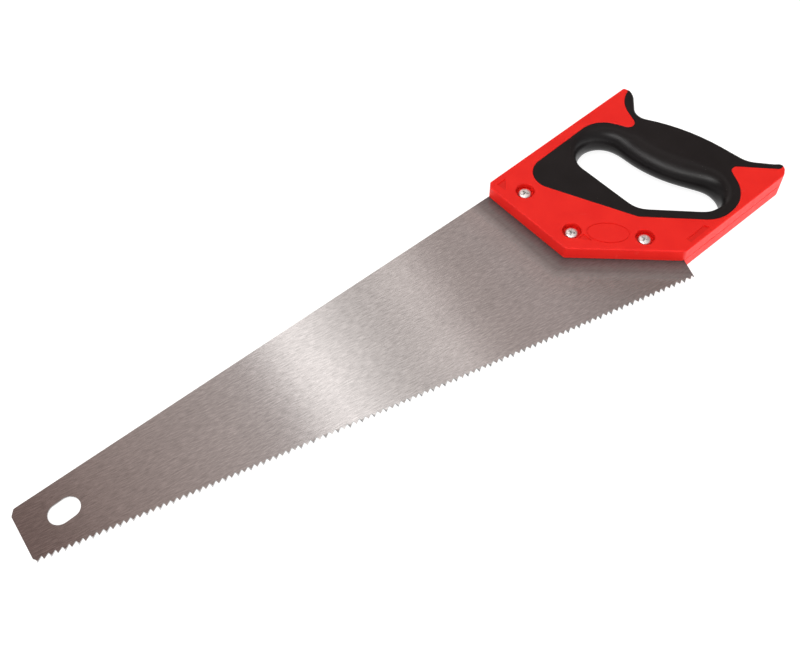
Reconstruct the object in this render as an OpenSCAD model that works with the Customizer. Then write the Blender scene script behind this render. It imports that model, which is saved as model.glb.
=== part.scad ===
// Hand saw, 400 mm blade, with a two-shell pistol handle and a rubber overmould on each shell.
//
// The saw lies flat. +X runs from the toe of the blade to the handle, +Y from the teeth to the
// back edge, +Z up through the thickness. The origin is the middle of the saw's outline, on the
// plane that the back of the handle rests on.
//
// The blade is drawn in its own plan frame: x along the straight back edge from the toe, y = 0 on
// the back edge, z = 0 at mid-thickness. The handle is drawn in a second plan frame, whose corner
// is where the handle's front edge and top edge would meet, and which leans handle_tilt degrees.

/* [Blade] */
// Length of the toothed edge
blade_len = 400; // [350:10:450]
// Depth of the blade at the toe, from back edge to tooth tip
toe_depth = 34; // [30:1:40]
// Depth of the blade at the heel, from back edge to tooth tip
heel_depth = 125.2; // [122:0.2:128]
// Thickness of the steel
blade_t = 0.9; // [0.7:0.1:1.2]
// Teeth per 25.4 mm
teeth_per_inch = 7; // [6:1:9]
// Depth of a tooth from tip to gullet
tooth_depth = 2.4; // [1.8:0.1:2.6]
// Width of the hanging slot
slot_w = 12.4; // [8:0.2:14]
// Length of the hanging slot
slot_len = 18; // [15:0.5:24]

/* [Handle] */
// Thickness of the handle over both shells
handle_t = 19; // [18:1:24]
// Angle between the handle's top edge and the blade's back edge
handle_tilt = 2.1; // [1:0.1:3]
// Rubber thickness over the face of the rigid core
rubber_t = 3; // [2:0.5:4]
// Rubber thickness on the palm side
palm_t = 3; // [2:0.5:4]
// Depth of the marks pressed into the shells
mark_depth = 0.6; // [0.2:0.1:0.8]

/* [Fasteners] */
// Diameter of the recess round each screw head
recess_d = 11.8; // [10:0.2:12]
// Nominal diameter of the screws
screw_d = 4; // [3:1:4]
// Depth of a screw head's top below the face
head_sink = 1.3; // [0.8:0.1:2]

/* [Hidden] */
half_t = handle_t / 2;
core_top = half_t - rubber_t;

// Teeth: tips lie on one straight line, gullets one tooth_depth inside it.
pitch = 25.4 / teeth_per_inch;
teeth = floor(blade_len / pitch);
slope = asin((heel_depth - toe_depth) / blade_len);
first_tip = [0.1, -toe_depth];
gullet_start = 0.70;
gullet_end = 0.80;

function along(s, d) = first_tip
    + s * [cos(slope), -sin(slope)]
    + d * [sin(slope), cos(slope)];

// The heel cuts across the last steep face just short of its tip, and leans as it rises.
heel_cut = 0.075;
heel = along((teeth - heel_cut) * pitch, tooth_depth * heel_cut / (1 - gullet_end));
heel_lean = 20;
heel_edge = 23;

// Where the handle frame's corner sits in the blade frame.
handle_pos = [heel.x - 51.9, 2.65];

// Screw axes in the blade frame, measured from the handle corner.
screw_top = handle_pos + [14.8, -19.1];
screw_middle = handle_pos + [14.9, -59.9];
screw_lower = handle_pos + [45.0, -91.4];
SCREWS = [screw_top, screw_middle, screw_lower];

// Hanging slot near the toe.
slot_pos = [24.8, -17.7];
slot_tilt = 1.7;

// Pan-head machine screw with a cross recess, and its hexagon nut.
head_d = 2 * screw_d;
head_h = 3;
head_crown = 0.9;
seat_z = half_t - head_sink - head_h;
shank_end = -half_t + 0.6;
screw_clear = 0.2;
cross_w = 1.0;
cross_len = 4.4;
cross_depth = 1.6;
nut_af = screw_d == 3 ? 5.5 : 7;
nut_h = 0.8 * screw_d;
nut_seat = -seat_z;
nut_clear = 0.02;
pocket_clear = 0.15;

// ---- Outlines -------------------------------------------------------------------------------
// A corner is [x, y, radius]. rounded() turns a closed list of corners into a polygon, with an
// arc at each corner whose radius is not zero.

arc_step = 6;

function unit(v) = v / norm(v);
function flat(p) = [p.x, p.y];
function turn(a) = a - 360 * round(a / 360);
function heading(v) = atan2(v.y, v.x);

function corner_half(a, b, c) =
    acos(unit(flat(a) - flat(b)) * unit(flat(c) - flat(b))) / 2;

function corner_centre(a, b, c) =
    flat(b) + unit(unit(flat(a) - flat(b)) + unit(flat(c) - flat(b)))
    * b[2] / sin(corner_half(a, b, c));

function corner_arc(a, b, c) = b[2] == 0 ? [flat(b)] :
    let (
        half = corner_half(a, b, c),
        centre = corner_centre(a, b, c),
        reach = b[2] / tan(half),
        from = heading(flat(b) + unit(flat(a) - flat(b)) * reach - centre),
        to = heading(flat(b) + unit(flat(c) - flat(b)) * reach - centre),
        sweep = turn(to - from),
        steps = max(3, ceil(abs(sweep) / arc_step))
    )
    [for (k = [0:steps]) centre + b[2] * [cos(from + sweep * k / steps), sin(from + sweep * k / steps)]];

function before(list, i) = list[(i + len(list) - 1) % len(list)];
function after(list, i) = list[(i + 1) % len(list)];

function rounded(list) = [
    for (i = [0:len(list) - 1]) each corner_arc(before(list, i), list[i], after(list, i))
];

// Moves each side of a clockwise list of corners to its right by the distance in shifts, where
// shifts[i] belongs to the side that leaves corner i. Radii grow or shrink to suit.
function side_right(a, b) = let (d = unit(flat(b) - flat(a))) [d.y, -d.x];

function shifted(list, shifts) = [
    for (i = [0:len(list) - 1])
        let (
            n1 = side_right(before(list, i), list[i]),
            n2 = side_right(list[i], after(list, i)),
            d1 = before(shifts, i),
            d2 = shifts[i],
            cross = n1.x * n2.y - n1.y * n2.x,
            move = [(d1 * n2.y - d2 * n1.y) / cross, (d2 * n1.x - d1 * n2.x) / cross],
            grow = sign(cross) * (d1 + d2) / 2
        )
        [list[i].x + move.x, list[i].y + move.y, max(list[i][2] + grow, 0.5)]
];

// Handle outline, clockwise from the chamfer where the front and top edges meet.
handle_corners = [
    [0, -3.2, 1.5],
    [3.2, 0, 1.5],
    [126, 0, 1.5],
    [127.7, -7.2, 8],
    [112.5, -22.1, 9],
    [130.1, -50.7, 120],
    [135.6, -95, 17],
    [150.8, -112.9, 4.4],
    [143.2, -117.9, 5],
    [51.4, -116.5, 4],
    [0, -67.1, 2],
];

// The rigid core under the rubber stops short of the palm side, by half as much at the top horn.
palm_share = [0, 0, 0, 0.5, 1, 1, 1, 0, 0, 0, 0];
core_corners = shifted(handle_corners, palm_t * palm_share);

// Hand hole at mid-thickness, clockwise from its top front corner. The two extra values are how
// far the rounding reaches over the face at the start and at the end of the corner's arc.
hole_corners = [
    [55.1, -19.3, 17, 1.5, 7],
    [88.5, -12.4, 14.5, 7.8, 11],
    [87.1, -56, 86, 15, 15],
    [105, -89.7, 13.5, 13, 12],
    [103.9, -105.2, 12, 10, 3],
    [87.4, -107.4, 11, 1, 1],
    [55.1, -74.6, 14, 1, 1],
];
// Distance from the hole to the rigid core, for the side that leaves each corner.
core_gap = [4, 6.5, 6.5, 6, 4, 2.5, 2.5];
core_hole_corners = shifted(hole_corners, -core_gap);

// Edge of the rubber on the face. The last corners close it outside the palm side.
rubber_corners = [
    [18.2, -8.2, 13],
    [91.3, -6.8, 20],
    [105.5, -33.6, 4.6],
    [115.3, -7.2, 21],
    [129.1, -2.7, 0],
    [170, -10, 0],
    [170, -106, 0],
    [145.6, -113.6, 4],
    [123.2, -89.8, 4],
    [111.2, -114.5, 24],
    [85.4, -114.6, 21],
    [50.7, -79.7, 9.5],
];

// Plain marks pressed into the face: two triangles and a slanted bar, and a blank oval badge.
triangle_top = [[4.8, -4.2], [12.2, -4.2], [5.4, -11.6]];
triangle_middle = [[10.6, -66.8], [16.2, -66.8], [16.2, -74]];
slanted_bar = [[58.8, -110.6], [74.6, -110.6], [76.4, -113.9], [58.8, -113.9]];
badge_pos = [27.6, -76.2];
badge_reach = [13, 7.8];
badge_lean = -46;
badge_line = 0.7;
badge_steps = 48;

function oval(reach) = [
    for (k = [0:badge_steps - 1])
        [reach.x * cos(360 * k / badge_steps), reach.y * sin(360 * k / badge_steps)]
];

// Blade outline, clockwise from the toe: back edge, tang inside the handle, heel, teeth.
toe_reach = 0.8;
toe_foot = along(-0.15 * pitch, 1.8);
tang_rear = [handle_pos.x + 31.2, 0];
tang_bend = [handle_pos.x + 33.2, -30];
tang_foot = heel + heel_edge * [sin(heel_lean), cos(heel_lean)];
blade_corners = concat(
    [
        [-toe_reach, 3.2 - toe_depth, 0.4],
        [1.9, -3.4, 1.5],
        [4.9, 0, 1.5],
        [tang_rear.x, tang_rear.y, 5],
        [tang_bend.x, tang_bend.y, 20],
        [tang_foot.x, tang_foot.y, 2],
        [heel.x, heel.y, 0],
    ],
    [
        for (k = [teeth - 1:-1:0])
            each [
                concat(along((k + gullet_end) * pitch, tooth_depth), 0),
                concat(along((k + gullet_start) * pitch, tooth_depth), 0),
                concat(along(k * pitch, 0), 0)
            ]
    ],
    [concat(toe_foot, 0)]
);

// Middle of the whole outline, which becomes the origin.
function to_blade(p) = handle_pos + [
    p.x * cos(handle_tilt) - p.y * sin(handle_tilt),
    p.x * sin(handle_tilt) + p.y * cos(handle_tilt)
];
function handle_extreme(i) = to_blade(
    corner_centre(handle_corners[i - 1], handle_corners[i], handle_corners[i + 1]));

x_max = handle_extreme(7).x + handle_corners[7][2];
x_min = -toe_reach;
y_max = handle_extreme(2).y + handle_corners[2][2];
y_min = min(along((teeth - 1) * pitch, 0).y, heel.y);
origin = [(x_min + x_max) / 2, (y_min + y_max) / 2];

RED = [0.85, 0.12, 0.10];
BLACK = [0.13, 0.12, 0.12];
STEEL = [0.55, 0.52, 0.50];
ZINC = [0.80, 0.80, 0.78];

// How far a cutting solid reaches past the surface that it cuts.
cut = 1;

// ---- Frames ---------------------------------------------------------------------------------

module in_blade_frame() {
    translate([-origin.x, -origin.y, half_t])
        children();
}

module in_handle_frame() {
    in_blade_frame()
        translate([handle_pos.x, handle_pos.y, 0])
            rotate([0, 0, handle_tilt])
                children();
}

module at_screw(p) {
    in_blade_frame()
        translate([p.x, p.y, 0])
            children();
}

// ---- Blade ----------------------------------------------------------------------------------

module blade() {
    color(STEEL)
        in_blade_frame()
            difference() {
                translate([0, 0, -blade_t / 2])
                    linear_extrude(blade_t)
                        polygon(rounded(blade_corners));
                hanging_slot();
                for (p = SCREWS)
                    translate([p.x, p.y, -blade_t])
                        cylinder(h = 2 * blade_t, d = screw_d + 2 * screw_clear, $fn = 32);
            }
}

module hanging_slot() {
    run = slot_len - slot_w;
    translate([slot_pos.x, slot_pos.y, -blade_t])
        rotate([0, 0, slot_tilt]) {
            translate([-run / 2, -slot_w / 2, 0])
                cube([run, slot_w, 2 * blade_t]);
            for (side = [-1, 1])
                translate([side * run / 2, 0, 0])
                    cylinder(h = 2 * blade_t, d = slot_w, $fn = 64);
        }
}

// ---- Handle: one half, drawn for the front and mirrored for the back ---------------------------

module outline() { polygon(rounded(handle_corners)); }
module core_outline() { polygon(rounded(core_corners)); }
module hole() { polygon(rounded(hole_corners)); }
module core_hole() { polygon(rounded(core_hole_corners)); }
module rubber_edge() { polygon(rounded(rubber_corners)); }

// Plug the shape of half the hand hole: it widens towards the face in a quarter ellipse, whose
// reach over the face follows the two extra values of each corner.
RINGS = 7;

function hole_ring() = [
    for (i = [0:len(hole_corners) - 1])
        let (
            a = before(hole_corners, i),
            b = hole_corners[i],
            c = after(hole_corners, i),
            centre = corner_centre(a, b, c),
            points = corner_arc(a, b, c),
            n1 = side_right(a, b),
            n2 = side_right(b, c),
            bulge = sign(n1.x * n2.y - n1.y * n2.x)
        )
        for (k = [0:len(points) - 1])
            let (out = -bulge * unit(points[k] - centre))
            [points[k], out, b[3] + (b[4] - b[3]) * k / (len(points) - 1)]
];

module hole_plug() {
    ring = hole_ring();
    n = len(ring);
    levels = concat(
        [[0, -cut]],
        [for (j = [0:RINGS]) [1 - cos(90 * j / RINGS), half_t * sin(90 * j / RINGS)]],
        [[1, half_t + cut]]
    );
    points = [
        for (lv = levels)
            for (p = ring)
                let (q = p[0] + p[1] * p[2] * lv[0])
                [q.x, q.y, lv[1]]
    ];
    sides = [
        for (j = [0:len(levels) - 2])
            for (i = [0:n - 1])
                let (
                    a = j * n + i,
                    b = j * n + (i + 1) % n
                )
                each [[a, b, b + n], [a, b + n, a + n]]
    ];
    polyhedron(
        points = points,
        faces = concat([[for (i = [n - 1:-1:0]) i]], [[for (i = [0:n - 1]) (len(levels) - 1) * n + i]], sides)
    );
}

module shell_half() {
    linear_extrude(core_top)
        difference() {
            core_outline();
            core_hole();
        }
    translate([0, 0, core_top])
        linear_extrude(rubber_t)
            difference() {
                outline();
                rubber_edge();
            }
}

module rubber_half() {
    difference() {
        union() {
            linear_extrude(core_top)
                difference() {
                    outline();
                    difference() {
                        core_outline();
                        core_hole();
                    }
                }
            translate([0, 0, core_top])
                linear_extrude(rubber_t)
                    intersection() {
                        outline();
                        rubber_edge();
                    }
        }
        hole_plug();
    }
}

// Half the blade's thickness, cleared in each shell so that the closed shells clamp the tang.
module tang_pocket() {
    rotate([0, 0, -handle_tilt])
        translate([-handle_pos.x, -handle_pos.y, -cut])
            linear_extrude(blade_t / 2 + cut)
                polygon(rounded(blade_corners));
}

module marks() {
    translate([0, 0, half_t - mark_depth])
        linear_extrude(mark_depth + cut) {
            polygon(triangle_top);
            polygon(triangle_middle);
            polygon(slanted_bar);
            translate(badge_pos)
                rotate(badge_lean)
                    difference() {
                        polygon(oval(badge_reach));
                        polygon(oval(badge_reach - [badge_line, badge_line]));
                    }
        }
}

module screw_passages() {
    for (p = SCREWS)
        at_screw(p)
            translate([0, 0, -half_t - cut])
                cylinder(h = handle_t + 2 * cut, d = screw_d + 2 * screw_clear, $fn = 32);
}

module handle_shell_front() {
    color(RED)
        difference() {
            in_handle_frame()
                difference() {
                    shell_half();
                    tang_pocket();
                    marks();
                }
            screw_passages();
            for (p = SCREWS)
                at_screw(p)
                    translate([0, 0, seat_z])
                        cylinder(h = half_t, d = recess_d, $fn = 48);
        }
}

module handle_shell_back() {
    color(RED)
        difference() {
            in_handle_frame()
                mirror([0, 0, 1])
                    difference() {
                        shell_half();
                        tang_pocket();
                        marks();
                    }
            screw_passages();
            for (p = SCREWS)
                at_screw(p)
                    mirror([0, 0, 1])
                        translate([0, 0, -nut_seat])
                            cylinder(h = half_t, d = (nut_af + 2 * pocket_clear) / cos(30), $fn = 6);
        }
}

module grip_overmould_front() {
    color(BLACK)
        in_handle_frame()
            rubber_half();
}

module grip_overmould_back() {
    color(BLACK)
        in_handle_frame()
            mirror([0, 0, 1])
                rubber_half();
}

// ---- Fasteners ------------------------------------------------------------------------------

// Profile of the head: a straight rim below a crowned top.
module pan_head() {
    rim_h = head_h - head_crown;
    crown_r = (pow(head_d / 2, 2) + pow(head_crown, 2)) / (2 * head_crown);
    intersection() {
        cylinder(h = head_h, d = head_d, $fn = 48);
        translate([0, 0, rim_h + head_crown - crown_r])
            sphere(r = crown_r, $fn = 96);
    }
}

module screw(p) {
    color(ZINC)
        at_screw(p)
            difference() {
                union() {
                    translate([0, 0, seat_z])
                        pan_head();
                    translate([0, 0, shank_end])
                        cylinder(h = seat_z - shank_end, d = screw_d, $fn = 48);
                }
                for (angle = [0, 90])
                    translate([0, 0, seat_z + head_h])
                        rotate([0, 0, angle])
                            cube([cross_len, cross_w, 2 * cross_depth], center = true);
            }
}

module nut(p) {
    color(ZINC)
        at_screw(p)
            mirror([0, 0, 1])
                translate([0, 0, -nut_seat])
                    difference() {
                        cylinder(h = nut_h, d = nut_af / cos(30), $fn = 6);
                        translate([0, 0, -cut])
                            cylinder(h = nut_h + 2 * cut, d = screw_d + 2 * nut_clear, $fn = 48);
                    }
}

module top_screw() { screw(screw_top); }
module middle_screw() { screw(screw_middle); }
module lower_screw() { screw(screw_lower); }
module top_nut() { nut(screw_top); }
module middle_nut() { nut(screw_middle); }
module lower_nut() { nut(screw_lower); }

blade();
handle_shell_front();
handle_shell_back();
grip_overmould_front();
grip_overmould_back();
top_screw();
middle_screw();
lower_screw();
top_nut();
middle_nut();
lower_nut();
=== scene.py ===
import math

import bmesh
import bpy
from mathutils import Matrix, Vector


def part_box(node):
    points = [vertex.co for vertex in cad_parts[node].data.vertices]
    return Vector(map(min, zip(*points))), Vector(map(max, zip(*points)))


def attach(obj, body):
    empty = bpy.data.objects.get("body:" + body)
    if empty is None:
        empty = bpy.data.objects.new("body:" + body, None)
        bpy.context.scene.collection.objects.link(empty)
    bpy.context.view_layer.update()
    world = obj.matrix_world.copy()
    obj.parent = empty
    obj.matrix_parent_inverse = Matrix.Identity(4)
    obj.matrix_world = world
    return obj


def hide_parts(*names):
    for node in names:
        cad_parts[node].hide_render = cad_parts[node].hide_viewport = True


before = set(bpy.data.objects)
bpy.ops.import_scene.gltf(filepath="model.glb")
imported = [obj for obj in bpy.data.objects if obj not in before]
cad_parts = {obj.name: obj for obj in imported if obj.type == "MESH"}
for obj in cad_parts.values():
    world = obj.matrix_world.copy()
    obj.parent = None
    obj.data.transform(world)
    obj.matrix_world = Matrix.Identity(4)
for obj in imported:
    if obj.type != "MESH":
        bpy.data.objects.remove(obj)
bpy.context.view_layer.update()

# Lengths are in millimetres in the plan frames below, and become metres in the row frame.
MM = 0.001

# ---- Sizes shared with the CAD model -----------------------------------------------------------

HALF_T = 9.5
RUBBER_T = 3.0
CORE_TOP = HALF_T - RUBBER_T
HANDLE_TILT = math.radians(2.1)
PALM_T = 3.0

BLADE_T = 0.9
TOE_DEPTH = 34.0
TOE_REACH = 0.8
HEEL_DEPTH = 125.2
TOOTHED_LEN = 400.0
PITCH = 25.4 / 7
TOOTH_DEPTH = 2.4
GULLET_START = 0.70
GULLET_END = 0.80
FIRST_TIP = Vector((0.1, -TOE_DEPTH))
# Where the toe meets the first tooth: along the line of tooth tips, and how far inside it.
TOE_FOOT = (-0.15 * PITCH, 1.8)
# Corners (x, y, radius) of the toe, clockwise, in the blade frame.
TOE_CORNERS = [(-TOE_REACH, 3.2 - TOE_DEPTH, 0.4), (1.9, -3.4, 1.5), (4.9, 0, 1.5)]
# The last tooth is cut off after this share of its pitch.
HEEL_CUT = 0.075
HEEL_LEAN = math.radians(20)
HEEL_EDGE = 23.0
SLOT_POS = Vector((24.8, -17.7))
SLOT_TILT = math.radians(1.7)
SLOT_W = 12.4
SLOT_LEN = 18.0

SCREW_D = 4.0
SCREW_CLEAR = 0.2
HEAD_D = 8.0
HEAD_H = 3.0
HEAD_SINK = 1.3
SEAT_Z = HALF_T - HEAD_SINK - HEAD_H
SHANK_END = -HALF_T + 0.6
RECESS_D = 11.8
NUT_AF = 7.0
NUT_H = 3.2
POCKET_CLEAR = 0.15

# Screw axes from the handle corner, along the blade's axes.
AXES = {
    "top": Vector((14.8, -19.1)),
    "middle": Vector((14.9, -59.9)),
    "lower": Vector((45.0, -91.4)),
}

# Corners (x, y, radius) of the hidden tang, from the handle corner along the blade's axes.
TANG_CORNERS = [(31.2, -2.65, 5), (33.2, -32.65, 20)]
TANG_FOOT_RADIUS = 2

# Corners (x, y, radius) of the handle and its rubber, clockwise, in the handle frame.
HANDLE_CORNERS = [
    (0, -3.2, 1.5), (3.2, 0, 1.5), (126, 0, 1.5), (127.7, -7.2, 8),
    (112.5, -22.1, 9), (130.1, -50.7, 120), (135.6, -95, 17), (150.8, -112.9, 4.4),
    (143.2, -117.9, 5), (51.4, -116.5, 4), (0, -67.1, 2),
]
RUBBER_CORNERS = [
    (18.2, -8.2, 13), (91.3, -6.8, 20), (105.5, -33.6, 4.6), (115.3, -7.2, 21),
    (129.1, -2.7, 0), (170, -10, 0), (170, -106, 0), (145.6, -113.6, 4),
    (123.2, -89.8, 4), (111.2, -114.5, 24), (85.4, -114.6, 21), (50.7, -79.7, 9.5),
]
# The hand hole's corners, and its rounding's reach over the face where each of them starts and
# ends. After them come the gaps from the hole's sides to the core, and the share of PALM_T by
# which the core stands back from each side of the handle.
HOLE_CORNERS = [
    (55.1, -19.3, 17), (88.5, -12.4, 14.5), (87.1, -56, 86), (105, -89.7, 13.5),
    (103.9, -105.2, 12), (87.4, -107.4, 11), (55.1, -74.6, 14),
]
HOLE_REACH = [(1.5, 7), (7.8, 11), (15, 15), (13, 12), (10, 3), (1, 1), (1, 1)]
CORE_GAP = [4, 6.5, 6.5, 6, 4, 2.5, 2.5]
PALM_SHARE = [0, 0, 0, 0.5, 1, 1, 1, 0, 0, 0, 0]

TRIANGLE_TOP = [(4.8, -4.2), (12.2, -4.2), (5.4, -11.6)]
TRIANGLE_MIDDLE = [(10.6, -66.8), (16.2, -66.8), (16.2, -74)]
SLANTED_BAR = [(58.8, -110.6), (74.6, -110.6), (76.4, -113.9), (58.8, -113.9)]
BADGE_POS = Vector((27.6, -76.2))
BADGE_REACH = (13, 7.8)
BADGE_LEAN = math.radians(-46)
BADGE_LINE = 0.7

# ---- Finishing sizes that only the looks need --------------------------------------------------

# How finely arcs, long sides and round parts are divided.
ARC_STEP = math.radians(4)
LONGEST = 2.5
EDGE_STEPS = 5
HOLE_STEPS = 14
HOLE_SPACING = 1.3
HOLE_RELAXING = 6
SLOT_STEPS = 24
ROUND_STEPS = 32
TURNED_STEPS = 48
FINE_STEPS = 64

# Radii of the rounded edges, and the distance over which one radius eases into the next.
SHELL_EDGE = 0.8
SHELL_JOINT_EDGE = 0.6
SHELL_BLEND = 2.5
PALM_EDGE = 2.0
GRIP_JOINT_EDGE = 0.35
GRIP_BLEND = 6.0

# Chamfers at the parting plane, in the hanging slot and round the sockets, and the rounding of
# a screw socket's floor corner by its two ends and the point between them.
SHELL_SEAM = 0.4
GRIP_SEAM = 0.12
SLOT_CHAMFER = 0.12
RECESS_CHAMFER = 0.12
RECESS_CORNER = 0.3
RECESS_BEND = 0.09
POCKET_CHAMFER = 0.3

# The drawn core stays clear of the shell's edge and of the parting plane.
CORE_PLAY = 0.4
CORE_LIFT = 0.05

MARK_DEPTH = 0.7
MARK_CORNER = 0.35
MARK_TAPER = 0.05
# The badge's groove: its floor as a share of its width, and its widening above the face.
BADGE_DEPTH = 0.45
BADGE_FOOT = 0.7
BADGE_FLARE = 0.2
BADGE_STEPS = 96

# The teeth bend to alternate sides, and each is ground back on the other side of its point.
TOOTH_SET = 0.22
GRIND_BACK = 0.12
GRIND_DEPTH = 0.7

# A screw head's upright side, its crown, and half sizes of one arm of its cross recess.
HEAD_SIDE = 1.512
HEAD_CHAMFER = 0.15
CROWN_STEPS = 10
CROWN_POWERS = (0.7, 0.9)
CROSS_TURN = math.radians(20)
CROSS_FLOOR = (1.1, 0.36)
CROSS_MOUTH = (2.7, 0.62)
CROSS_DEPTH = 1.9
CROSS_RISE = 0.4

# The thread's flanks are steeper than a plain zigzag, which leaves its crests flat.
THREAD_PITCH = 0.7
THREAD_DEPTH = 0.4
THREAD_STEPS = 6
FLANK_GAIN = 1.25
END_SLOPE = 1.2
SHANK_OVERLAP = 0.4

# The domed solid that rounds off a nut's corners: its face as a share of the nut's, and margins.
NUT_FACE = 0.96
NUT_MARGIN = 0.1
NUT_SKIN = 0.001
NUT_DROP = 0.35
BORE_CLEAR = 0.02
BORE_CHAMFER = 0.4

# Cutting solids reach this far past the surface that they cut.
CUT = 1
# Smallest radius of a shifted corner, and the sharpest turn, as the cosine of its half, at which
# walls still keep their full distance.
LEAST_RADIUS = 0.5
MITRE_LIMIT = 0.7
# Plan points closer than this become one, and so do mesh points closer than WELD, in metres.
SAME_POINT = 1e-4
WELD = 1e-6
# Edges that bend by more than this, in degrees, are drawn sharp.
BLADE_SHARP = 25
SHELL_SHARP = 30
GRIP_SHARP = 35
SCREW_SHARP = 35
NUT_SHARP = 20


# ---- Plan frames -------------------------------------------------------------------------------

blade_low, blade_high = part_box("blade")
screw_low, screw_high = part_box("top_screw")
mid_z = (blade_low.z + blade_high.z) / 2
screw_axis = (screw_low + screw_high) / 2
blade_corner = Vector((blade_low.x + TOE_REACH * MM, blade_high.y, mid_z))
handle_corner = Vector((*(screw_axis.to_2d() - AXES["top"] * MM), mid_z))

BLADE_FRAME = Matrix.Translation(blade_corner) @ Matrix.Scale(MM, 4)
SCREW_FRAME = Matrix.Translation(handle_corner) @ Matrix.Scale(MM, 4)
HANDLE_FRAME = SCREW_FRAME @ Matrix.Rotation(HANDLE_TILT, 4, "Z")
FLIP = Matrix.Scale(-1, 4, (0, 0, 1))


def at_screw(axis):
    """Frame of one screw, with its z along the screw's axis."""
    return SCREW_FRAME @ Matrix.Translation((*axis, 0))


# ---- Outlines ----------------------------------------------------------------------------------

def flat(p):
    """The plan point of a corner."""
    return Vector((p[0], p[1]))


def corner_arc(a, b, c):
    """Points of the arc at corner b, of radius b[2], on the way from a to c."""
    a, centre, c, radius = flat(a), flat(b), flat(c), b[2]
    if radius == 0:
        return [centre]
    u, v = (a - centre).normalized(), (c - centre).normalized()
    half = math.acos(max(-1, min(1, u.dot(v)))) / 2
    hub = centre + (u + v).normalized() * radius / math.sin(half)
    reach = radius / math.tan(half)
    start, end = centre + u * reach - hub, centre + v * reach - hub
    a0 = math.atan2(start.y, start.x)
    sweep = math.remainder(math.atan2(end.y, end.x) - a0, math.tau)
    steps = max(4, math.ceil(abs(sweep) / ARC_STEP))
    turns = [a0 + sweep * k / steps for k in range(steps + 1)]
    return [hub + radius * Vector((math.cos(t), math.sin(t))) for t in turns]


def rounded(corners):
    """Points of an outline with an arc at each of its corners."""
    points = []
    for i, corner in enumerate(corners):
        points += corner_arc(corners[i - 1], corner, corners[(i + 1) % len(corners)])
    return points


def shifted(corners, shifts):
    """Each side moved to its right by the distance of its first corner, for a clockwise list."""
    n = len(corners)
    moved = []
    for i, corner in enumerate(corners):
        d1 = (flat(corner) - flat(corners[i - 1])).normalized()
        d2 = (flat(corners[(i + 1) % n]) - flat(corner)).normalized()
        n1, n2 = Vector((d1.y, -d1.x)), Vector((d2.y, -d2.x))
        s1, s2 = shifts[i - 1], shifts[i]
        cross = n1.x * n2.y - n1.y * n2.x
        x = corner[0] + (s1 * n2.y - s2 * n1.y) / cross
        y = corner[1] + (s2 * n1.x - s1 * n2.x) / cross
        radius = corner[2] + math.copysign((s1 + s2) / 2, cross)
        moved.append((x, y, max(radius, LEAST_RADIUS)))
    return moved


def evenly(points):
    """A closed path with its long sides divided."""
    out = []
    for i, p in enumerate(points):
        q = points[(i + 1) % len(points)]
        parts = max(1, math.ceil((q - p).length / LONGEST))
        out += [p.lerp(q, k / parts) for k in range(parts)]
    return out


def right_side(path, i):
    """Unit vector to the right of a closed path at point i, longer where the path turns."""
    n = len(path)
    d1 = (path[i] - path[i - 1]).normalized()
    d2 = (path[(i + 1) % n] - path[i]).normalized()
    side = Vector((d1.y + d2.y, -d1.x - d2.x)).normalized()
    return side / max(MITRE_LIMIT, side.dot(Vector((d1.y, -d1.x))))


def grown(path, distance):
    """A clockwise path moved outward."""
    return [p - right_side(path, i) * distance for i, p in enumerate(path)]


def without_repeats(path):
    """A closed path without points that lie on the one before them."""
    return [p for i, p in enumerate(path) if (p - path[i - 1]).length > SAME_POINT]


def crossings(a, b):
    """Where closed path a crosses closed path b: (index in a, index in b, point), in a's order."""
    found = []
    for i in range(len(a)):
        p, r = a[i], a[(i + 1) % len(a)] - a[i]
        for j in range(len(b)):
            q, s = b[j], b[(j + 1) % len(b)] - b[j]
            cross = r.x * s.y - r.y * s.x
            if cross == 0:
                continue
            gap = q - p
            t = (gap.x * s.y - gap.y * s.x) / cross
            u = (gap.x * r.y - gap.y * r.x) / cross
            if 0 <= t < 1 and 0 <= u < 1:
                found.append((i, j, p + r * t))
    return found


def stretch(path, start, stop):
    """Points of a closed path after index start up to index stop."""
    n = len(path)
    return [path[(start + 1 + k) % n] for k in range((stop - start) % n)]


def circle(radius, z, count, way=-1):
    """Points round the z axis, clockwise from above, or with way 1 the other way."""
    turns = [way * math.tau * k / count for k in range(count)]
    return [Vector((radius * math.cos(t), radius * math.sin(t), z)) for t in turns]


def at_height(path, z):
    """A plan path lifted to z."""
    return [Vector((p.x, p.y, z)) for p in path]


# ---- Meshes ------------------------------------------------------------------------------------

def bridge(bm, low, high):
    """Faces between two rings of vertices."""
    n = len(low)
    for i in range(n):
        j = (i + 1) % n
        bm.faces.new((low[i], low[j], high[j], high[i]))


def cap(bm, loops, facing):
    """Fills the flat region between an outer loop of vertices and its holes."""
    edges = []
    for loop in loops:
        for i, v in enumerate(loop):
            edges.append(bm.edges.get((v, loop[(i + 1) % len(loop)])))
    made = bmesh.ops.triangle_fill(bm, edges=edges, use_beauty=True)
    faces = [g for g in made["geom"] if isinstance(g, bmesh.types.BMFace)]
    for face in faces:
        face.normal_update()
        if face.normal.z * facing < 0:
            face.normal_flip()


def prism(stacks):
    """A closed solid from stacks of rings: the first stack is the outer wall, the others are holes.
    Each stack's rings run from the lowest to the highest."""
    bm = bmesh.new()
    walls = []
    for rings in stacks:
        made = [[bm.verts.new(p) for p in ring] for ring in rings]
        for low, high in zip(made, made[1:]):
            bridge(bm, low, high)
        walls.append(made)
    cap(bm, [made[0] for made in walls], -1)
    cap(bm, [made[-1] for made in walls], 1)
    bmesh.ops.recalc_face_normals(bm, faces=bm.faces)
    return bm


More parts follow.
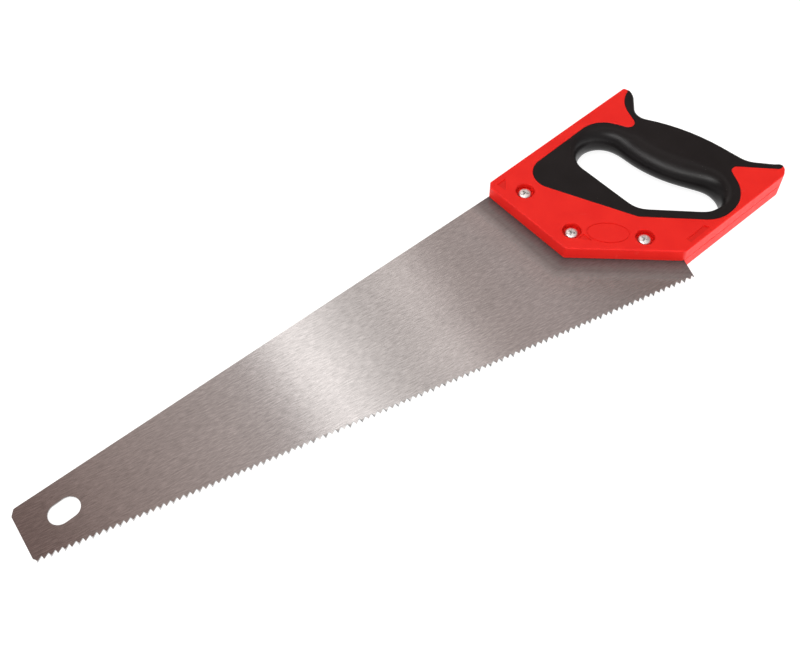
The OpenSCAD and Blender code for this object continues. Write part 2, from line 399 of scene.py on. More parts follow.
def rolled(path, sides, reach, rise, steps):
    """Rings of a wall that curves over into the handle's face. At point i it moves by reach[i]
    along sides[i] while it rises by rise[i]."""
    rings = []
    for k in range(steps + 1):
        t = math.pi / 2 * k / steps
        across, below = 1 - math.cos(t), 1 - math.sin(t)
        rings.append([
            Vector((*(p + side * r * across), HALF_T - h * below))
            for p, side, r, h in zip(path, sides, reach, rise)
        ])
    return rings


def edge_rings(path, radii, foot):
    """Rings of half the handle's wall round a clockwise path: a small chamfer at the parting
    plane, upright, and then an edge rounded by radii[i] at point i."""
    inward = [right_side(path, i) for i in range(len(path))]
    upright = [at_height(grown(path, -foot), 0.0), at_height(path, foot)]
    return upright + rolled(path, inward, radii, radii, EDGE_STEPS)


def new_object(name, bm, matrix):
    """An object in the row frame. A mirroring matrix turns faces inside out, so they are then
    turned back."""
    bm.transform(matrix)
    if matrix.determinant() < 0:
        bmesh.ops.reverse_faces(bm, faces=bm.faces)
    mesh = bpy.data.meshes.new(name)
    bm.to_mesh(mesh)
    bm.free()
    obj = bpy.data.objects.new(name, mesh)
    bpy.context.scene.collection.objects.link(obj)
    return obj


def cut(obj, cutter, operation="DIFFERENCE"):
    """Applies a boolean and removes the cutter."""
    modifier = obj.modifiers.new("cut", "BOOLEAN")
    modifier.operation = operation
    modifier.solver = "EXACT"
    modifier.object = cutter
    bpy.context.view_layer.update()
    depsgraph = bpy.context.evaluated_depsgraph_get()
    mesh = bpy.data.meshes.new_from_object(obj.evaluated_get(depsgraph))
    obj.modifiers.clear()
    old = obj.data
    obj.data = mesh
    mesh.name = obj.name
    bpy.data.meshes.remove(old)
    bpy.data.objects.remove(cutter)


def tidy_mesh(obj, sharp):
    """Welds stray doubles, and shades smooth except at edges that bend by more than sharp degrees.
    The normals follow the big faces, which so look flat."""
    bm = bmesh.new()
    bm.from_mesh(obj.data)
    bmesh.ops.remove_doubles(bm, verts=bm.verts, dist=WELD)
    bmesh.ops.dissolve_degenerate(bm, edges=bm.edges, dist=WELD)
    for face in bm.faces:
        face.smooth = True
    for edge in bm.edges:
        edge.smooth = edge.calc_face_angle(math.pi) < math.radians(sharp)
    bm.to_mesh(obj.data)
    bm.free()
    weighted = obj.modifiers.new("flat_faces", "WEIGHTED_NORMAL")
    weighted.mode = "FACE_AREA"
    weighted.weight = 90
    weighted.keep_sharp = True


def revolve(profile, steps=ROUND_STEPS):
    """A solid of revolution about z from (radius, z) pairs that start and end on the axis."""
    bm = bmesh.new()
    rings = []
    for radius, z in profile:
        ring = circle(radius, z, steps, 1) if radius else [(0, 0, z)]
        rings.append([bm.verts.new(p) for p in ring])
    for low, high in zip(rings, rings[1:]):
        for k in range(steps):
            j = (k + 1) % steps
            if len(low) == 1:
                bm.faces.new((low[0], high[j], high[k]))
            elif len(high) == 1:
                bm.faces.new((low[k], low[j], high[0]))
            else:
                bm.faces.new((low[k], low[j], high[j], high[k]))
    bmesh.ops.recalc_face_normals(bm, faces=bm.faces)
    return bm


def tapered(outline, low_z, high_z, grow):
    """A prism whose clockwise outline grows outward by grow at the top."""
    return prism([[at_height(outline, low_z), at_height(grown(outline, grow), high_z)]])


# ---- Shader nodes ------------------------------------------------------------------------------

class Nodes:
    """Short ways to add and join the nodes of one tree."""

    def __init__(self, tree):
        self.tree = tree

    def add(self, kind, **settings):
        node = self.tree.nodes.new(kind)
        for key, value in settings.items():
            setattr(node, key, value)
        return node

    def put(self, value, socket):
        """Joins an output to an input, or gives the input a colour or a number."""
        if isinstance(value, bpy.types.NodeSocket):
            self.tree.links.new(value, socket)
        elif isinstance(value, tuple):
            socket.default_value = (*value, 1)
        else:
            socket.default_value = value

    def coordinate(self, vector, name):
        node = self.add("ShaderNodeSeparateXYZ")
        self.put(vector, node.inputs["Vector"])
        return node.outputs[name]

    def calculate(self, operation, *values):
        node = self.add("ShaderNodeMath", operation=operation)
        for value, socket in zip(values, node.inputs):
            self.put(value, socket)
        return node.outputs["Value"]

    def faded(self, value, low, high, interpolation="LINEAR"):
        """0 up to low, 1 from high, and rising between."""
        node = self.add("ShaderNodeMapRange", interpolation_type=interpolation)
        node.inputs["From Min"].default_value = low
        node.inputs["From Max"].default_value = high
        self.put(value, node.inputs["Value"])
        return node.outputs["Result"]

    def ramp(self, value, stops):
        """A ramp through (position, colour) stops. A colour may be a single grey."""
        node = self.add("ShaderNodeValToRGB")
        elements = node.color_ramp.elements
        while len(elements) < len(stops):
            elements.new(0.5)
        for element, (position, colour) in zip(elements, stops):
            rgb = colour if isinstance(colour, tuple) else (colour, colour, colour)
            element.position = position
            element.color = (*rgb, 1)
        self.put(value, node.inputs["Fac"])
        return node.outputs["Color"]

    def signed_ramp(self, value, stops):
        """A ramp over values from -1 to 1."""
        halved = [((position + 1) / 2, colour) for position, colour in stops]
        return self.ramp(self.faded(value, -1.0, 1.0), halved)

    def mix(self, blend, factor, a, b):
        node = self.add("ShaderNodeMix", data_type="RGBA", blend_type=blend)
        for name, value in (("Factor", factor), ("A", a), ("B", b)):
            self.put(value, node.inputs[name])
        return node.outputs["Result"]


class Finish(Nodes):
    """The nodes of one material, placed in the row frame."""

    def __init__(self, name):
        self.material = bpy.data.materials.new(name)
        self.material.use_nodes = True
        super().__init__(self.material.node_tree)
        self.place = self.add("ShaderNodeTexCoord").outputs["Object"]

    def mapped(self, vector, kind="POINT", **inputs):
        node = self.add("ShaderNodeMapping", vector_type=kind)
        for name, value in inputs.items():
            node.inputs[name].default_value = value
        self.put(vector, node.inputs["Vector"])
        return node.outputs["Vector"]

    def noise(self, scale, detail, roughness=0.5, turn=0.0):
        """Noise over the place, which is turned in plan and then scaled."""
        turned = self.mapped(self.place, Rotation=(0, 0, turn))
        node = self.add("ShaderNodeTexNoise")
        node.inputs["Scale"].default_value = 1.0
        node.inputs["Detail"].default_value = detail
        node.inputs["Roughness"].default_value = roughness
        self.put(self.mapped(turned, Scale=scale), node.inputs["Vector"])
        return node.outputs["Fac"]

    def beside(self, start, end):
        """Distance to the left of the line from start to end, given in the handle's plan frame."""
        start = HANDLE_FRAME @ Vector((*start, 0))
        end = HANDLE_FRAME @ Vector((*end, 0))
        turn = math.atan2(end.y - start.y, end.x - start.x)
        vector = self.mapped(self.place, "TEXTURE", Location=start, Rotation=(0, 0, turn))
        return self.coordinate(vector, "Y")

    def near_handle(self):
        """0 under the handle's front edges and 1 far in front of them, over the reach of the
        blade's painted contact shadow.
        """
        top, bend, foot = (flat(HANDLE_CORNERS[i]) for i in (0, -1, -2))
        nearest = self.calculate("MAXIMUM", self.beside(bend, top), self.beside(foot, bend))
        return self.faded(nearest, 0.0, CONTACT_SHADE_REACH * MM)

    def raised(self, low, high):
        """0 up to the height low over the handle's middle plane, on both sides, and 1 from high."""
        vector = self.mapped(self.place, "TEXTURE", Location=(0, 0, mid_z))
        height = self.calculate("ABSOLUTE", self.coordinate(vector, "Z"))
        return self.faded(height, low * MM, high * MM)

    def flatness(self):
        """1 on faces that lie level, and 0 on upright ones."""
        normal = self.add("ShaderNodeNewGeometry").outputs["Normal"]
        return self.calculate("ABSOLUTE", self.coordinate(normal, "Z"))

    def bump(self, height, strength, distance):
        node = self.add("ShaderNodeBump")
        node.inputs["Strength"].default_value = strength
        node.inputs["Distance"].default_value = distance
        self.put(height, node.inputs["Height"])
        return node.outputs["Normal"]

    def finish(self, inputs):
        """Joins or sets inputs of the shader, and gives the material."""
        shader = self.tree.nodes["Principled BSDF"]
        for name, value in inputs.items():
            self.put(value, shader.inputs[name])
        return self.material


# ---- Materials ---------------------------------------------------------------------------------

BRUSH_TURN = math.radians(-9)
BRUSH_BUMP = 0.0001
GRAIN_BUMP = 0.00003
# Painted contact shadow: the steel's colour is darker close to the handle, over this reach in front
# of its edges.
CONTACT_SHADE_REACH = 30
CONTACT_SHADE_RAMP = [
    (0.0, (0.11, 0.12, 0.12)), (0.1, (0.24, 0.23, 0.23)), (0.3, (0.40, 0.35, 0.34)),
    (0.55, (1.00, 0.96, 0.95)), (1.0, (1.0, 1.0, 1.0)),
]
# Heights below the handle's face between which colours take a painted shade, as on sunk surfaces:
# level floors of marks and sockets in the plastic, and deep zinc in the cross recesses.
MARK_SHADE = (0.5, 0.3)
CROSS_SHADE = (3.1, 2.3)


def blade_steel():
    """Steel brushed one way, with a painted contact shadow in front of the handle, where it is also
    less metallic.
    """
    m = Finish("brushed_steel")
    fine = m.noise((40, 6500, 1), detail=4, turn=-BRUSH_TURN)
    coarse = m.noise((200, 1300, 1), detail=4, roughness=0.65, turn=-BRUSH_TURN)
    cloud = m.noise((18, 40, 1), detail=2, turn=-BRUSH_TURN)
    near = m.near_handle()
    tone = m.ramp(fine, [(0.3, (0.55, 0.535, 0.53)), (0.7, (0.63, 0.615, 0.61))])
    tone = m.mix("MULTIPLY", 1.0, tone, m.ramp(coarse, [(0.3, 0.62), (0.7, 1.0)]))
    tone = m.mix("MULTIPLY", 1.0, tone, m.ramp(cloud, [(0.3, 0.94), (0.7, 1.0)]))
    # Painted contact shadow: the colour darkens and the Metallic ramp drops close to the handle.
    tone = m.mix("MULTIPLY", 1.0, tone, m.ramp(near, CONTACT_SHADE_RAMP))
    tangent = m.add("ShaderNodeTangent", direction_type="UV_MAP", uv_map="brush")
    return m.finish({
        "Base Color": tone,
        "Metallic": m.ramp(near, [(0.0, 0.0), (0.25, 0.1), (0.55, 1.0)]),
        "Roughness": m.ramp(coarse, [(0.3, 0.14), (0.7, 0.16)]),
        "Normal": m.bump(coarse, 0.15, BRUSH_BUMP),
        "Tangent": tangent.outputs["Tangent"],
        "Anisotropic": 1.0,
    })


def red_plastic():
    """Moulded plastic with faint scuffs, and a painted shade on sunk level faces of marks and
    sockets.
    """
    m = Finish("moulded_plastic")
    cloud = m.noise((60, 60, 60), detail=3)
    grain = m.noise((2600, 2600, 2600), detail=2)
    scuff = m.noise((90, 420, 90), detail=5, roughness=0.7, turn=math.radians(35))
    body = m.ramp(cloud, [(0.3, (0.82, 0.014, 0.010)), (0.7, (0.88, 0.020, 0.013))])
    worn = m.ramp(scuff, [(0.66, 0.0), (0.80, 0.35)])
    tone = m.mix("MIX", worn, body, (0.90, 0.16, 0.13))
    # Painted shade: level faces sunk below the handle's face are darker.
    height = m.raised(*(HALF_T - depth for depth in MARK_SHADE))
    level = m.ramp(m.flatness(), [(0.90, 0.0), (0.97, 1.0)])
    shade = m.mix("MIX", level, (1.0, 1.0, 1.0), m.ramp(height, [(0.0, 0.88), (1.0, 1.0)]))
    return m.finish({
        "Base Color": m.mix("MULTIPLY", 1.0, tone, shade),
        "Metallic": 0.0,
        "Roughness": m.ramp(scuff, [(0.35, 0.36), (0.75, 0.50)]),
        "IOR": 1.5,
        "Specular IOR Level": 0.22,
        "Normal": m.bump(grain, 0.12, GRAIN_BUMP),
    })


def black_rubber():
    """Moulded rubber with a few pale specks of dust."""
    m = Finish("moulded_rubber")
    cloud = m.noise((70, 70, 70), detail=3)
    grain = m.noise((3400, 3400, 3400), detail=2)
    speck = m.noise((900, 900, 900), detail=1)
    body = m.ramp(cloud, [(0.3, (0.0072, 0.0058, 0.0060)), (0.7, (0.0100, 0.0081, 0.0084))])
    dust = m.ramp(speck, [(0.76, 0.0), (0.80, 0.5)])
    return m.finish({
        "Base Color": m.mix("MIX", dust, body, (0.12, 0.115, 0.11)),
        "Metallic": 0.0,
        "Roughness": m.ramp(cloud, [(0.3, 0.31), (0.7, 0.37)]),
        "IOR": 1.5,
        "Specular IOR Level": 0.21,
        "Normal": m.bump(grain, 0.15, GRAIN_BUMP),
    })


def zinc_steel():
    """Plated steel, with a painted shade on surfaces that lie deep below the handle's face, as in
    the screws' cross recesses and down in the sockets.
    """
    m = Finish("zinc_plate")
    cloud = m.noise((500, 500, 500), detail=3)
    grain = m.noise((4200, 4200, 4200), detail=2)
    plate = m.ramp(cloud, [(0.3, (0.93, 0.92, 0.90)), (0.7, (1.0, 0.99, 0.98))])
    # Painted shade: surfaces deep below the handle's face are darker.
    height = m.raised(*(HALF_T - depth for depth in CROSS_SHADE))
    shade = m.ramp(height, [(0.0, 0.60), (1.0, 1.0)])
    return m.finish({
        "Base Color": m.mix("MULTIPLY", 1.0, plate, shade),
        "Metallic": 1.0,
        "Roughness": m.ramp(cloud, [(0.3, 0.34), (0.7, 0.44)]),
        "Normal": m.bump(grain, 0.2, GRAIN_BUMP),
    })


FINISHES = {
    "blade_steel": blade_steel(),
    "red_plastic": red_plastic(),
    "black_rubber": black_rubber(),
    "zinc_steel": zinc_steel(),
}


def hand_in(obj, node, slot):
    """Gives a finished piece the material that slot names in FINISHES, and lets it stand for its
    CAD node.
    """
    obj.data.materials.clear()
    obj.data.materials.append(FINISHES[slot])
    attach(obj, "root")
    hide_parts(node)


# ---- Blade -------------------------------------------------------------------------------------

SLOPE = math.asin((HEEL_DEPTH - TOE_DEPTH) / TOOTHED_LEN)
TEETH = int(TOOTHED_LEN / PITCH)


def along(s, d):
    """A point s along the line of tooth tips, and d inside it."""
    forward = Vector((math.cos(SLOPE), -math.sin(SLOPE)))
    inside = Vector((math.sin(SLOPE), math.cos(SLOPE)))
    return FIRST_TIP + forward * s + inside * d


HEEL = along((TEETH - HEEL_CUT) * PITCH, TOOTH_DEPTH * HEEL_CUT / (1 - GULLET_END))
HANDLE_POS = (handle_corner - blade_corner).to_2d() / MM


def blade_body():
    """Corners of the blade without its teeth, clockwise from the toe to the heel."""
    toe_foot = (*along(*TOE_FOOT), 0)
    tang = [(HANDLE_POS.x + x, HANDLE_POS.y + y, radius) for x, y, radius in TANG_CORNERS]
    tang_foot = HEEL + HEEL_EDGE * Vector((math.sin(HEEL_LEAN), math.cos(HEEL_LEAN)))
    return [toe_foot, *TOE_CORNERS, *tang, (*tang_foot, TANG_FOOT_RADIUS), (*HEEL, 0)]


def toothed_plate():
    """Flat body with a row of teeth that bend to alternate sides and are ground to points."""
    bm = bmesh.new()
    top, bottom, tips = [], [], []

    def column(upper, lower, shift=0.0):
        top.append(bm.verts.new((upper.x, upper.y, shift + BLADE_T / 2)))
        bottom.append(bm.verts.new((lower.x, lower.y, shift - BLADE_T / 2)))

    for p in rounded(blade_body()):
        column(p, p)
    for k in reversed(range(TEETH)):
        for share in (GULLET_END, GULLET_START):
            gullet = along((k + share) * PITCH, TOOTH_DEPTH)
            column(gullet, gullet)
        point = along(k * PITCH, 0)
        ground = along((k + GRIND_BACK) * PITCH, GRIND_DEPTH)
        tips.append(len(top))
        if k % 2:
            column(point, ground, TOOTH_SET)
        else:
            column(ground, point, -TOOTH_SET)

    n = len(top)
    for i in range(n):
        j = (i + 1) % n
        bm.faces.new((bottom[i], bottom[j], top[j]))
        bm.faces.new((bottom[i], top[j], top[i]))
    for verts, facing in ((top, 1), (bottom, -1)):
        for i in tips:
            bm.faces.new((verts[i - 1], verts[i], verts[(i + 1) % n]))
        body = [v for i, v in enumerate(verts) if i not in tips]
        for i, v in enumerate(body):
            w = body[(i + 1) % len(body)]
            if bm.edges.get((v, w)) is None:
                bm.edges.new((v, w))
        cap(bm, [body], facing)
    bmesh.ops.recalc_face_normals(bm, faces=bm.faces)
    return bm


def slot_cutter():
    """Cuts the hanging slot with a fine chamfer on both faces."""
    run = (SLOT_LEN - SLOT_W) / 2
    path = []
    for side in (1, -1):
        for k in range(SLOT_STEPS + 1):
            t = math.pi * (1 - side / 2 - k / SLOT_STEPS)
            path.append(Vector((side * run + SLOT_W / 2 * math.cos(t), SLOT_W / 2 * math.sin(t))))
    upright = BLADE_T / 2 - SLOT_CHAMFER
    wide = grown(path, BLADE_T / 2 + SLOT_CHAMFER)
    rings = ((wide, -BLADE_T), (path, -upright), (path, upright), (wide, BLADE_T))
    return prism([[at_height(ring, z) for ring, z in rings]])


def passage_cutter(low_z, high_z):
    """Clearance hole for a screw."""
    radius = SCREW_D / 2 + SCREW_CLEAR
    return revolve([(0, low_z), (radius, low_z), (radius, high_z), (0, high_z)])


def brush_uv(obj):
    """UV map whose u runs across the brushed lines and v along them."""
    layer = obj.data.uv_layers.new(name="brush")
    c, s = math.cos(BRUSH_TURN), math.sin(BRUSH_TURN)
    for loop in obj.data.loops:
        p = obj.data.vertices[loop.vertex_index].co
        layer.data[loop.index].uv = (c * p.y - s * p.x + 0.5, 0.5 - c * p.x - s * p.y)


def make_blade():
    """The toothed plate with its hanging slot and screw holes."""
    blade = new_object("saw_blade", toothed_plate(), BLADE_FRAME)
    place = BLADE_FRAME @ Matrix.Translation((*SLOT_POS, 0)) @ Matrix.Rotation(SLOT_TILT, 4, "Z")
    cut(blade, new_object("slot_cutter", slot_cutter(), place))
    for axis in AXES.values():
        cut(blade, new_object("hole_cutter", passage_cutter(-BLADE_T, BLADE_T), at_screw(axis)))
    tidy_mesh(blade, BLADE_SHARP)
    brush_uv(blade)
    return blade


# ---- Handle ------------------------------------------------------------------------------------

def eased(a, b, t):
    """From a at t = 0 to b at t = 1, with a soft start and end."""
    return a + (b - a) * (3 - 2 * t) * t * t


def split_face():
    """Plan paths of the red and the black region of a face, with the joint between them and the
    joint's two ends."""
    outline = evenly(rounded(HANDLE_CORNERS))
    seam = evenly(rounded(RUBBER_CORNERS))
    (i_horn, j_horn, horn), (i_tail, j_tail, tail) = crossings(outline, seam)
    palm = stretch(outline, i_horn, i_tail)
    rest = stretch(outline, i_tail, i_horn)
    joint = stretch(seam, j_tail, j_horn)
    red = without_repeats([tail] + rest + [horn] + list(reversed(joint)))
    black = without_repeats([tail] + joint + [horn] + palm)
    return red, black, {tuple(p) for p in joint}, (horn, tail)


def edge_radii(path, joint, ends, outer, inner, blend):
    """outer along the handle's edge and inner along the joint, eased near the joint's ends."""
    radii = []
    for p in path:
        if tuple(p) in joint:
            radii.append(inner)
        else:
            near = min((p - end).length for end in ends)
            radii.append(eased(inner, outer, min(1, near / blend)))
    return radii


def spaced(points, spacing):
    """Points at even distances, measured in plan, along a closed path."""
    n = len(points)
    total = [0.0]
    for i, p in enumerate(points):
        total.append(total[-1] + (points[(i + 1) % n] - p).to_2d().length)
    count = round(total[-1] / spacing)
    even = []
    i = 0
    for k in range(count):
        s = total[-1] * k / count
        while total[i + 1] < s:
            i += 1
        t = (s - total[i]) / max(total[i + 1] - total[i], 1e-9)
        even.append(points[i].lerp(points[(i + 1) % n], t))
    return even


def relaxed(points):
    """A closed path with each point moved halfway to the middle of its neighbours."""
    n = len(points)
    return [(points[i - 1] + 2 * p + points[(i + 1) % n]) / 4 for i, p in enumerate(points)]


def hole_path():
    """Points of the hand hole at mid-thickness, with the reach of the rounding over the face at
    each. The reach travels as the third coordinate while the points are spaced and relaxed."""
    n = len(HOLE_CORNERS)
    points = []
    for i, (first, last) in enumerate(HOLE_REACH):
        arc = corner_arc(HOLE_CORNERS[i - 1], HOLE_CORNERS[i], HOLE_CORNERS[(i + 1) % n])
        for k, p in enumerate(arc):
            points.append(Vector((p.x, p.y, first + (last - first) * k / (len(arc) - 1))))
    points = spaced(points, HOLE_SPACING)
    for _ in range(HOLE_RELAXING):
        points = relaxed(points)
    return [p.to_2d() for p in points], [p.z for p in points]


def hole_rings():
    """Rings of the hole's wall: a quarter ellipse from mid-thickness out over the face."""
    path, reach = hole_path()
    outward = [-right_side(path, i) for i in range(len(path))]
    return rolled(path, outward, reach, [HALF_T] * len(path), HOLE_STEPS)


def core_prism(low_z, inset):
    """The rigid core under the rubber, drawn inset from the handle's edge."""
    shifts = [PALM_T * share + inset for share in PALM_SHARE]
    outer = rounded(shifted(HANDLE_CORNERS, shifts))
    inner = rounded(shifted(HOLE_CORNERS, [-gap for gap in CORE_GAP]))
    return prism([[at_height(path, z) for z in (low_z, CORE_TOP)] for path in (outer, inner)])


def badge_groove():
    """Cuts a shallow groove round a blank oval."""
    half = BADGE_LINE / 2
    foot = half * BADGE_FOOT
    section = [
        (-half - BADGE_FLARE, CUT / 2), (-half, 0.0), (-foot, -BADGE_DEPTH),
        (foot, -BADGE_DEPTH), (half, 0.0), (half + BADGE_FLARE, CUT / 2),
    ]
    bm = bmesh.new()
    rings = []
    for out, z in section:
        a, b = (reach - half + out for reach in BADGE_REACH)
        oval = circle(1, HALF_T + z, BADGE_STEPS)
        rings.append([bm.verts.new((a * p.x, b * p.y, p.z)) for p in oval])
    for k, ring in enumerate(rings):
        bridge(bm, rings[k - 1], ring)
    bmesh.ops.recalc_face_normals(bm, faces=bm.faces)
    return bm


def recess_cutter():
    """Round socket for a screw head, with a rounded floor corner and a chamfer at the face, and
    the screw's passage below its floor."""
    passage = SCREW_D / 2 + SCREW_CLEAR
    radius = RECESS_D / 2
    wide = radius + RECESS_CHAMFER
    return revolve([
        (0, -CUT), (passage, -CUT), (passage, SEAT_Z), (radius - RECESS_CORNER, SEAT_Z),
        (radius - RECESS_BEND, SEAT_Z + RECESS_BEND), (radius, SEAT_Z + RECESS_CORNER),
        (radius, HALF_T - RECESS_CHAMFER), (wide, HALF_T), (wide, HALF_T + CUT), (0, HALF_T + CUT),
    ], FINE_STEPS)


def pocket_cutter():
    """Hexagon pocket for a nut, with a chamfer at the face."""
    radius = (NUT_AF / 2 + POCKET_CLEAR) / math.cos(math.pi / 6)
    wide = radius + POCKET_CHAMFER + CUT
    rings = ((radius, SEAT_Z), (radius, HALF_T - POCKET_CHAMFER), (wide, HALF_T + CUT))
    return prism([[circle(r, z, 6) for r, z in rings]])


def make_shell(name, side, sockets):
    """Rigid shell of one side: the red face, the core under the rubber, marks and sockets."""
    red, _, joint, ends = split_face()
    radii = edge_radii(red, joint, ends, SHELL_EDGE, SHELL_JOINT_EDGE, SHELL_BLEND)
    shell = new_object(name, prism([edge_rings(red, radii, SHELL_SEAM)]), side)
    cut(shell, new_object("core", core_prism(CORE_LIFT, CORE_PLAY), side), "UNION")
    for corners in (TRIANGLE_TOP, TRIANGLE_MIDDLE, SLANTED_BAR):
        outline = rounded([(x, y, MARK_CORNER) for x, y in corners])
        mark = tapered(outline, HALF_T - MARK_DEPTH, HALF_T + CUT, MARK_TAPER)
        cut(shell, new_object("mark_cutter", mark, side))
    place = side @ Matrix.Translation((*BADGE_POS, 0)) @ Matrix.Rotation(BADGE_LEAN, 4, "Z")
    cut(shell, new_object("badge_cutter", badge_groove(), place))
    for cutter in sockets:
        cut(shell, cutter)
    tidy_mesh(shell, SHELL_SHARP)
    return shell


def make_grip(name, side):
    """Rubber skin of one shell: flat on the face, rolled over at the palm and in the hand hole."""
    _, black, joint, ends = split_face()
    radii = edge_radii(black, joint, ends, PALM_EDGE, GRIP_JOINT_EDGE, GRIP_BLEND)
    skin = prism([edge_rings(black, radii, GRIP_SEAM), hole_rings()])
    grip = new_object(name, skin, side)
    cut(grip, new_object("core_cutter", core_prism(-CUT, 0.0), side))
    tidy_mesh(grip, GRIP_SHARP)
    return grip


# ---- Fasteners ---------------------------------------------------------------------------------

def cross_arm():
    """One arm of the cross recess, narrower at its floor."""
    top = SEAT_Z + HEAD_H
    rings = []
    for (x, y), z in ((CROSS_FLOOR, top - CROSS_DEPTH), (CROSS_MOUTH, top + CROSS_RISE)):
        rings.append([Vector(p) for p in ((-x, -y, z), (-x, y, z), (x, y, z), (x, -y, z))])
    return prism([rings])


def threaded_shank():
    """Shank with a helical thread up to the head, and a chamfered end."""
    root = SCREW_D / 2 - THREAD_DEPTH
    length = SEAT_Z + SHANK_OVERLAP - SHANK_END
    levels = round(THREAD_STEPS * length / THREAD_PITCH)
    rings = []
    for i in range(levels + 1):
        rise = length * i / levels
        ring = []
        for k, p in enumerate(circle(1, SHANK_END + rise, ROUND_STEPS)):
            phase = (rise / THREAD_PITCH - k / ROUND_STEPS) % 1
            crest = THREAD_DEPTH * min(1, FLANK_GAIN * (1 - abs(2 * phase - 1)))
            radius = root + min(crest, END_SLOPE * rise)
            ring.append(Vector((radius * p.x, radius * p.y, p.z)))
        rings.append(ring)
    return prism([rings])


def make_screw(name, place):
    """Pan head with a crowned top and a tapered cross recess, on a threaded shank."""
    radius = HEAD_D / 2
    out_power, up_power = CROWN_POWERS
    profile = [(0, SEAT_Z), (radius - HEAD_CHAMFER, SEAT_Z), (radius, SEAT_Z + HEAD_CHAMFER)]
    for k in range(CROWN_STEPS):
        t = math.pi / 2 * k / CROWN_STEPS
        height = HEAD_SIDE + (HEAD_H - HEAD_SIDE) * math.sin(t) ** up_power
        profile.append((radius * math.cos(t) ** out_power, SEAT_Z + height))
    profile.append((0, SEAT_Z + HEAD_H))
    screw = new_object(name, revolve(profile, TURNED_STEPS), place)
    for turn in (0, math.pi / 2):
        spin = place @ Matrix.Rotation(turn + CROSS_TURN, 4, "Z")
        cut(screw, new_object("cross_cutter", cross_arm(), spin))
    cut(screw, new_object("shank", threaded_shank(), place), "UNION")
    tidy_mesh(screw, SCREW_SHARP)
    return screw


def make_nut(name, place):
    """Hexagon nut with chamfered corners and a chamfered bore, at the back."""
    low, high = SEAT_Z, SEAT_Z + NUT_H
    corner = NUT_AF / 2 / math.cos(math.pi / 6)
    nut = new_object(name, prism([[circle(corner, low, 6), circle(corner, high, 6)]]), place)

    face = NUT_AF / 2 * NUT_FACE
    wide = corner + NUT_MARGIN
    dome = revolve([
        (0, low - NUT_SKIN), (face, low - NUT_SKIN), (wide, low + NUT_DROP),
        (wide, high - NUT_DROP), (face, high + NUT_SKIN), (0, high + NUT_SKIN),
    ], FINE_STEPS)
    cut(nut, new_object("corner_cutter", dome, place), "INTERSECT")

    bore = SCREW_D / 2 + BORE_CLEAR
    mouth = bore + BORE_CHAMFER + CUT
    hole = revolve([
        (0, low - CUT), (mouth, low - CUT), (bore, low + BORE_CHAMFER),
        (bore, high - BORE_CHAMFER), (mouth, high + CUT), (0, high + CUT),
    ], TURNED_STEPS)
    cut(nut, new_object("bore_cutter", hole, place))
    tidy_mesh(nut, NUT_SHARP)
    return nut


# ---- Assembly ----------------------------------------------------------------------------------

SIDES = {"front": HANDLE_FRAME, "back": HANDLE_FRAME @ FLIP}

hand_in(make_blade(), "blade", "blade_steel")

sockets = {"front": [], "back": []}
for axis in AXES.values():
    front, back = at_screw(axis), at_screw(axis) @ FLIP
    passage = passage_cutter(-CUT, HALF_T + CUT)
    sockets["front"].append(new_object("recess", recess_cutter(), front))
    sockets["back"].append(new_object("pocket", pocket_cutter(), back))
    sockets["back"].append(new_object("passage", passage, back))

for word, side in SIDES.items():
    shell = make_shell(word + "_shell", side, sockets[word])
    hand_in(shell, "handle_shell_" + word, "red_plastic")
for word, side in SIDES.items():
    hand_in(make_grip(word + "_grip", side), "grip_overmould_" + word, "black_rubber")
for word, axis in AXES.items():
    hand_in(make_screw(word + "_pan_screw", at_screw(axis)), word + "_screw", "zinc_steel")
    hand_in(make_nut(word + "_hex_nut", at_screw(axis) @ FLIP), word + "_nut", "zinc_steel")


# ---- Floor, light and camera -------------------------------------------------------------------

# In metres.
FLOOR_RADIUS = 4.0
FLOOR_DROP = 0.0005
FLOOR_STEPS = 96


def make_floor():
    """A wide pale floor just under the saw."""
    bm = bmesh.new()
    bmesh.ops.create_circle(bm, cap_ends=True, segments=FLOOR_STEPS, radius=FLOOR_RADIUS)
    floor = new_object("floor", bm, Matrix.Translation((0, 0, -FLOOR_DROP)))
    m = Finish("pale_floor")
    cloud = m.noise((3, 3, 3), detail=1)
    floor.data.materials.append(m.finish({
        "Base Color": m.ramp(cloud, [(0.3, 0.29), (0.7, 0.31)]),
        "Roughness": 0.9,
        "Specular IOR Level": 0.1,
        "Emission Color": (1, 1, 1),
        "Emission Strength": 0.9,
    }))


def sky(tent, depth, lamp, screen, left, front, glow):
    """A white tent round the saw, with a screen across its back and a lamp high on the left.
    tent gives its colour from the floor up, times depth from front to back, and screen gives its
    own from left to right. The others say over which values of X, Y and Z each of them fades in."""
    world = bpy.data.worlds.new("studio")
    bpy.context.scene.world = world
    world.use_nodes = True
    m = Nodes(world.node_tree)
    place = m.add("ShaderNodeTexCoord").outputs["Generated"]
    x, y, z = (m.coordinate(place, name) for name in "XYZ")

    def both(a, a_range, b, b_range):
        steps = m.faded(a, *a_range, "SMOOTHSTEP"), m.faded(b, *b_range, "SMOOTHSTEP")
        return m.calculate("MULTIPLY", *steps)

    white = m.calculate("MULTIPLY", m.ramp(z, tent), m.signed_ramp(y, depth))
    room = m.mix("MIX", both(x, left, y, front), white, m.signed_ramp(x, screen))
    lit = m.mix("MIX", both(x, glow["left"], z, glow["high"]), room, lamp)
    m.put(lit, m.tree.nodes["Background"].inputs["Color"])


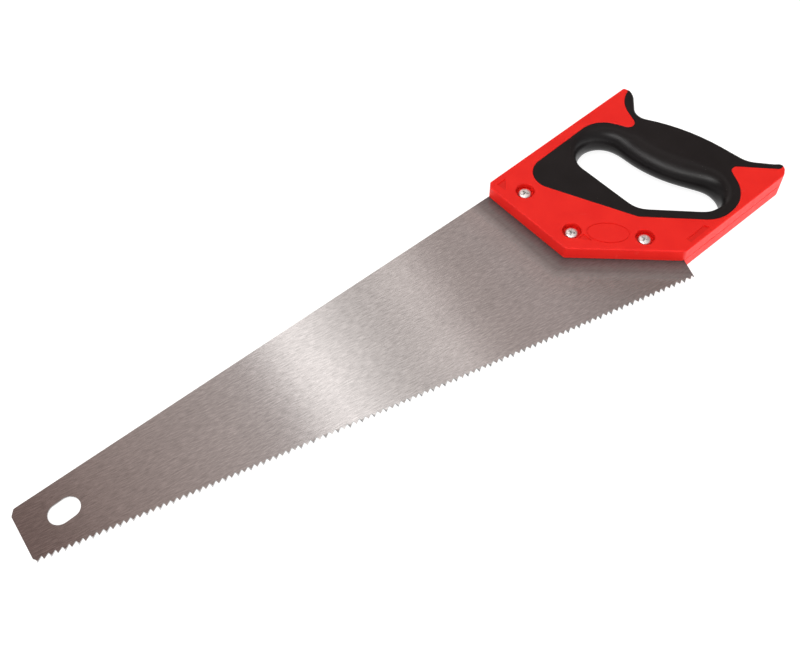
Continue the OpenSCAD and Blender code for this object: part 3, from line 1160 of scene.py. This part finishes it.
make_floor()
sky(
    tent=[
        (0.0, (1.50, 1.50, 1.50)), (0.18, (1.30, 1.30, 1.30)), (0.34, (0.35, 0.35, 0.35)),
        (0.80, (0.30, 0.30, 0.30)), (0.90, (0.60, 0.60, 0.60)),
    ],
    depth=[(-1.0, (2.10, 2.10, 2.10)), (-0.3, (1.15, 1.15, 1.15)), (1.0, (0.70, 0.70, 0.70))],
    lamp=(9.4, 9.3, 9.2),
    screen=[
        (0.00, (0.30, 0.205, 0.185)), (0.06, (0.52, 0.405, 0.375)), (0.19, (0.74, 0.64, 0.61)),
        (0.235, (0.74, 0.67, 0.65)), (0.265, (2.55, 2.46, 2.42)), (0.295, (1.38, 1.31, 1.28)),
        (0.335, (0.88, 0.81, 0.78)), (0.358, (0.82, 0.74, 0.71)), (0.375, (1.90, 1.77, 1.72)),
        (0.392, (0.66, 0.56, 0.53)), (0.41, (0.61, 0.51, 0.48)), (0.46, (0.73, 0.62, 0.60)),
        (0.52, (0.44, 0.355, 0.335)), (0.60, (0.40, 0.33, 0.31)),
    ],
    left=(-0.28, -0.10),
    front=(-0.35, -0.10),
    glow={"left": (-0.31, -0.39), "high": (0.775, 0.865)},
)

CAMERA_AIM = Vector((-0.01136, 0.01931, 0.0095))
CAMERA_DISTANCE = 0.6414
CAMERA_HEADING = math.radians(51.26)
CAMERA_DROP = math.radians(55.9)
CAMERA_ROLL = math.radians(-0.85)
LENS = 50.06


def make_camera():
    """A camera that looks down at its aim point from the saw's front left."""
    camera = bpy.data.cameras.new("camera")
    camera.lens = LENS
    camera.sensor_width = 36
    obj = bpy.data.objects.new("camera", camera)
    bpy.context.scene.collection.objects.link(obj)
    level = Vector((math.cos(CAMERA_HEADING), math.sin(CAMERA_HEADING), 0))
    forward = level * math.cos(CAMERA_DROP) - Vector((0, 0, math.sin(CAMERA_DROP)))
    place = Matrix.Translation(CAMERA_AIM - forward * CAMERA_DISTANCE)
    facing = forward.to_track_quat("-Z", "Y").to_matrix().to_4x4()
    obj.matrix_world = place @ facing @ Matrix.Rotation(CAMERA_ROLL, 4, "Z")
    bpy.context.scene.camera = obj


make_camera()
bpy.context.scene.view_settings.view_transform = "Standard"
